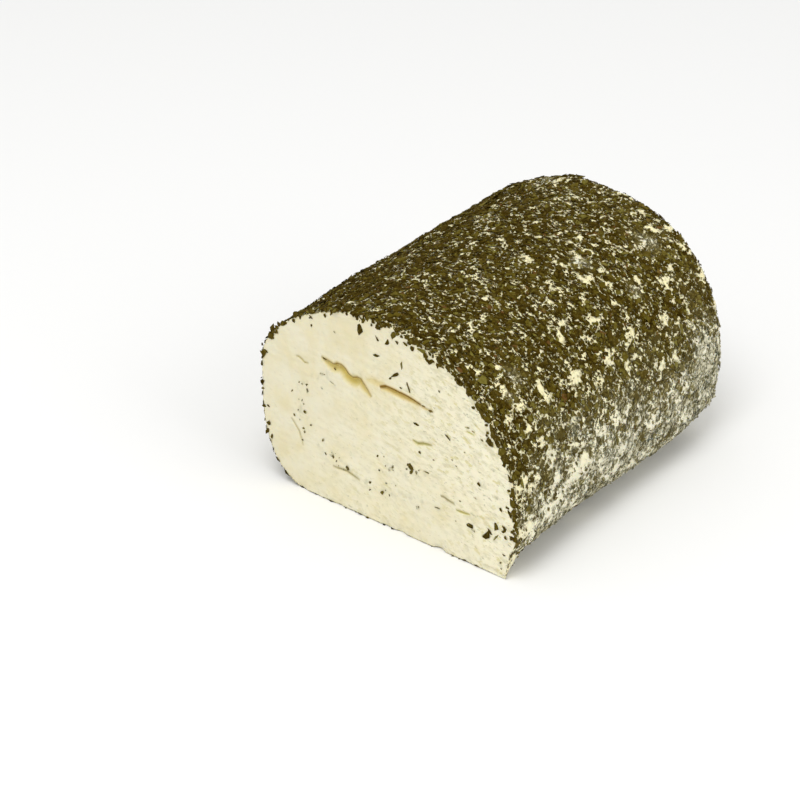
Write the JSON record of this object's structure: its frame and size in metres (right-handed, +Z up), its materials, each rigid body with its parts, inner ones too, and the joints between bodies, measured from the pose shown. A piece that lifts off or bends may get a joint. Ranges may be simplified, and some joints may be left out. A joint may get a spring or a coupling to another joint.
{
  "type": "herb-coated soft cheese log",
  "caption": "Cut log of soft garlic cheese, rolled up and coated with dried herb flakes, flat underneath, with a cream cut face and crevices along its seam.",
  "frame": {"origin": "middle of the bounding box's underside, on the table that the log lies on", "axes": "+Y along the roll's axis, from the cut face to the uncut end; +X to the right when facing the cut face; +Z up"},
  "size_m": [0.1044, 0.1398, 0.0669],
  "materials": {
    "herb_cheese": "soft cream cheese under a matt dark green coat of dried herbs"
  },
  "bodies": {
    "root": {"herb_cheese_log": "herb_cheese"}
  },
  "joints": []
}
